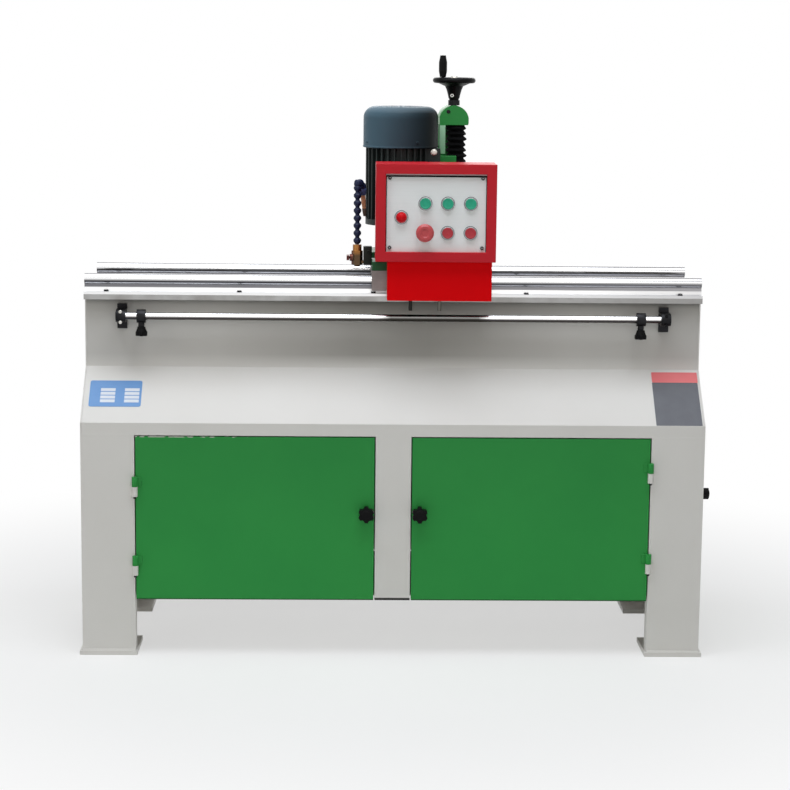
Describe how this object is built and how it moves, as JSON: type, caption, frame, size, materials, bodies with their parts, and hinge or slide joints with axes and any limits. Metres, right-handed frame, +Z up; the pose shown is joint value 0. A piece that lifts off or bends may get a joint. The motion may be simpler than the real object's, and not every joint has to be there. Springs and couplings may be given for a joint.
{
  "type": "planer knife grinder",
  "caption": "Floor-standing planer knife grinder: sheet-metal cabinet with doors, twin round rails, rack-driven carriage and a screw-fed vertical grinding motor.",
  "frame": {"origin": "on the floor, in the middle of the four anchor holes of the foot plates", "axes": "+X to the right along the bed as seen from the front, +Y to the back, +Z up"},
  "size_m": [1.431, 0.531, 1.3485],
  "materials": {
    "cabinet_paint": "semi-gloss off-white enamel",
    "green_paint": "semi-gloss green enamel",
    "red_paint": "semi-gloss red enamel",
    "panel_plate": "satin off-white plate",
    "motor_paint": "dark green-grey enamel",
    "cover_paint": "blue-grey enamel",
    "machined_steel": "machined",
    "ground_shaft": "ground and polished",
    "rail_alloy": "extruded",
    "block_alloy": "extruded grey",
    "black_plastic": "moulded",
    "black_metal": "satin black",
    "grey_cast": "painted casting",
    "green_cap": "moulded",
    "red_cap": "moulded",
    "bezel_chrome": "polished",
    "brass": "turned",
    "hose_blue": "moulded segments",
    "nozzle_orange": "moulded",
    "bellows_rubber": "pleated",
    "grit": "bonded abrasive",
    "tank_paint": "grey enamel"
  },
  "bodies": {
    "base": {"corner_posts": "cabinet_paint", "front_frame": "cabinet_paint", "rear_frame": "cabinet_paint", "left_end_panel": "cabinet_paint", "right_end_panel": "cabinet_paint", "cabinet_floor": "cabinet_paint", "coolant_trough": "cabinet_paint", "bed_plates": "machined_steel", "rail_supports": "rail_alloy", "rail_shafts": "ground_shaft", "gear_rack": "machined_steel", "stop_rod": "ground_shaft", "rod_brackets": "black_metal", "coolant_tank": "tank_paint", "coolant_pump": "grey_cast"},
    "carriage": {"carriage_plate": "green_paint", "pillow_blocks": "block_alloy", "column": "green_paint", "column_cap": "green_paint", "control_box": "red_paint", "control_panel": "panel_plate", "button_bezels": "bezel_chrome", "signal_lamp": "red_cap", "apron": "red_paint", "stop_sensors": "black_metal", "drive_gearmotor": "grey_cast", "coolant_valve": "brass", "bellows": "bellows_rubber"},
    "head": {"head_slide": "green_paint", "motor_housing": "motor_paint", "fan_cover": "cover_paint"},
    "spindle": {"motor_spindle": "machined_steel", "cup_wheel": "grit"},
    "feed_screw": {"handwheel": "black_plastic", "lead_screw": "machined_steel"},
    "grip": {"wheel_grip": "black_plastic"},
    "pinion": {"drive_pinion": "machined_steel"},
    "hose": {"coolant_hose": "hose_blue", "hose_nozzle": "nozzle_orange"},
    "knife_table": {"knife_bar": "machined_steel", "clamp_strip": "machined_steel"},
    "left_door": {"left_door": "green_paint"},
    "right_door": {"right_door": "green_paint"},
    "side_door": {"side_door": "green_paint"},
    "left_latch": {"left_latch": "black_plastic"},
    "right_latch": {"right_latch": "black_plastic"},
    "side_latch": {"side_latch": "black_plastic"},
    "green_button_1": {"green_button_1": "green_cap"},
    "green_button_2": {"green_button_2": "green_cap"},
    "green_button_3": {"green_button_3": "green_cap"},
    "red_button_1": {"red_button_1": "red_cap"},
    "red_button_2": {"red_button_2": "red_cap"},
    "estop_plunger": {"estop_plunger": "bezel_chrome"},
    "estop_head": {"estop_head": "red_cap"},
    "left_dog": {"left_dog": "machined_steel"},
    "right_dog": {"right_dog": "machined_steel"},
    "left_dog_knob": {"left_dog_knob": "black_plastic"},
    "right_dog_knob": {"right_dog_knob": "black_plastic"},
    "valve_lever": {"valve_lever": "red_cap"},
    "tilt_lock": {"tilt_lock": "black_plastic"}
  },
  "joints": [
    {"name": "carriage_travel", "type": "slide", "parent": "base", "child": "carriage", "axis": [1, 0, 0], "range_m": [-0.62, 0.46]},
    {"name": "pinion_spin", "type": "hinge", "parent": "carriage", "child": "pinion", "pos_m": [0.16, -0.045, 0.819], "axis": [0, 0, 1], "continuous": true},
    {"name": "handwheel_turn", "type": "hinge", "parent": "carriage", "child": "feed_screw", "pos_m": [0.141, 0.09, 1.291], "axis": [0, 0, 1], "range_deg": [-2165, 2525]},
    {"name": "head_feed", "type": "slide", "parent": "carriage", "child": "head", "axis": [0, 0, 1], "range_m": [-0.035, 0.03], "deforming": ["bellows"]},
    {"name": "grip_spin", "type": "hinge", "parent": "feed_screw", "child": "grip", "pos_m": [0.113, 0.062, 1.32], "axis": [0, 0, 1], "continuous": true},
    {"name": "spindle_spin", "type": "hinge", "parent": "head", "child": "spindle", "pos_m": [0.015, 0, 0.9], "axis": [0, 0, 1], "continuous": true},
    {"name": "left_door_swing", "type": "hinge", "parent": "base", "child": "left_door", "pos_m": [-0.57875, -0.2565, 0.316], "axis": [0, 0, 1], "range_deg": [-110, 0]},
    {"name": "right_door_swing", "type": "hinge", "parent": "base", "child": "right_door", "pos_m": [0.57875, -0.2565, 0.316], "axis": [0, 0, 1], "range_deg": [0, 110]},
    {"name": "side_door_swing", "type": "hinge", "parent": "base", "child": "side_door", "pos_m": [0.7065, 0.18875, 0.327], "axis": [0, 0, 1], "range_deg": [0, 110]},
    {"name": "left_latch_turn", "type": "hinge", "parent": "left_door", "child": "left_latch", "pos_m": [-0.06, -0.25, 0.33], "axis": [0, 1, 0], "range_deg": [0, 90]},
    {"name": "right_latch_turn", "type": "hinge", "parent": "right_door", "child": "right_latch", "pos_m": [0.06, -0.25, 0.33], "axis": [0, 1, 0], "range_deg": [-90, 0]},
    {"name": "side_latch_turn", "type": "hinge", "parent": "side_door", "child": "side_latch", "pos_m": [0.7, -0.17, 0.363], "axis": [1, 0, 0], "range_deg": [0, 90]},
    {"name": "green_button_1_press", "type": "slide", "parent": "carriage", "child": "green_button_1", "axis": [0, 1, 0], "range_m": [0, 0.003], "stiffness_N_per_m": 600, "springref_m": -0.003},
    {"name": "green_button_2_press", "type": "slide", "parent": "carriage", "child": "green_button_2", "axis": [0, 1, 0], "range_m": [0, 0.003], "stiffness_N_per_m": 600, "springref_m": -0.003},
    {"name": "green_button_3_press", "type": "slide", "parent": "carriage", "child": "green_button_3", "axis": [0, 1, 0], "range_m": [0, 0.003], "stiffness_N_per_m": 600, "springref_m": -0.003},
    {"name": "red_button_1_press", "type": "slide", "parent": "carriage", "child": "red_button_1", "axis": [0, 1, 0], "range_m": [0, 0.003], "stiffness_N_per_m": 600, "springref_m": -0.003},
    {"name": "red_button_2_press", "type": "slide", "parent": "carriage", "child": "red_button_2", "axis": [0, 1, 0], "range_m": [0, 0.003], "stiffness_N_per_m": 600, "springref_m": -0.003},
    {"name": "estop_press", "type": "slide", "parent": "carriage", "child": "estop_plunger", "axis": [0, 1, 0], "range_m": [0, 0.004]},
    {"name": "estop_twist", "type": "hinge", "parent": "estop_plunger", "child": "estop_head", "pos_m": [0.065, -0.212, 0.9605], "axis": [0, 1, 0], "range_deg": [0, 45], "stiffness_Nm_per_rad": 0.05, "springref_deg": -11.46},
    {"name": "left_dog_slide", "type": "slide", "parent": "base", "child": "left_dog", "axis": [1, 0, 0], "range_m": [-0.02, 0.4]},
    {"name": "right_dog_slide", "type": "slide", "parent": "base", "child": "right_dog", "axis": [1, 0, 0], "range_m": [-0.4, 0.03]},
    {"name": "left_dog_clamp", "type": "hinge", "parent": "left_dog", "child": "left_dog_knob", "pos_m": [-0.569, -0.168, 0.73], "axis": [0, 0, 1], "range_deg": [0, 540]},
    {"name": "right_dog_clamp", "type": "hinge", "parent": "right_dog", "child": "right_dog_knob", "pos_m": [0.559, -0.168, 0.73], "axis": [0, 0, 1], "range_deg": [0, 540]},
    {"name": "valve_turn", "type": "hinge", "parent": "carriage", "child": "valve_lever", "pos_m": [-0.1, -0.095, 0.892], "axis": [1, 0, 0], "range_deg": [0, 90]},
    {"name": "hose_swivel", "type": "hinge", "parent": "carriage", "child": "hose", "pos_m": [-0.084, -0.095, 0.922], "axis": [0, 0, 1], "range_deg": [-30, 30]},
    {"name": "knife_tilt", "type": "hinge", "parent": "base", "child": "knife_table", "pos_m": [0, 0.015, 0.77], "axis": [1, 0, 0], "range_deg": [-15, 10]},
    {"name": "tilt_lock_turn", "type": "hinge", "parent": "base", "child": "tilt_lock", "pos_m": [-0.63, 0.015, 0.77], "axis": [1, 0, 0], "range_deg": [-60, 60]}
  ],
  "couplings": [
    {"joint": "pinion_spin", "follows": "carriage_travel", "rad_per_m": -37.037},
    {"joint": "handwheel_turn", "follows": "head_feed", "rad_per_m": -1256.6}
  ]
}
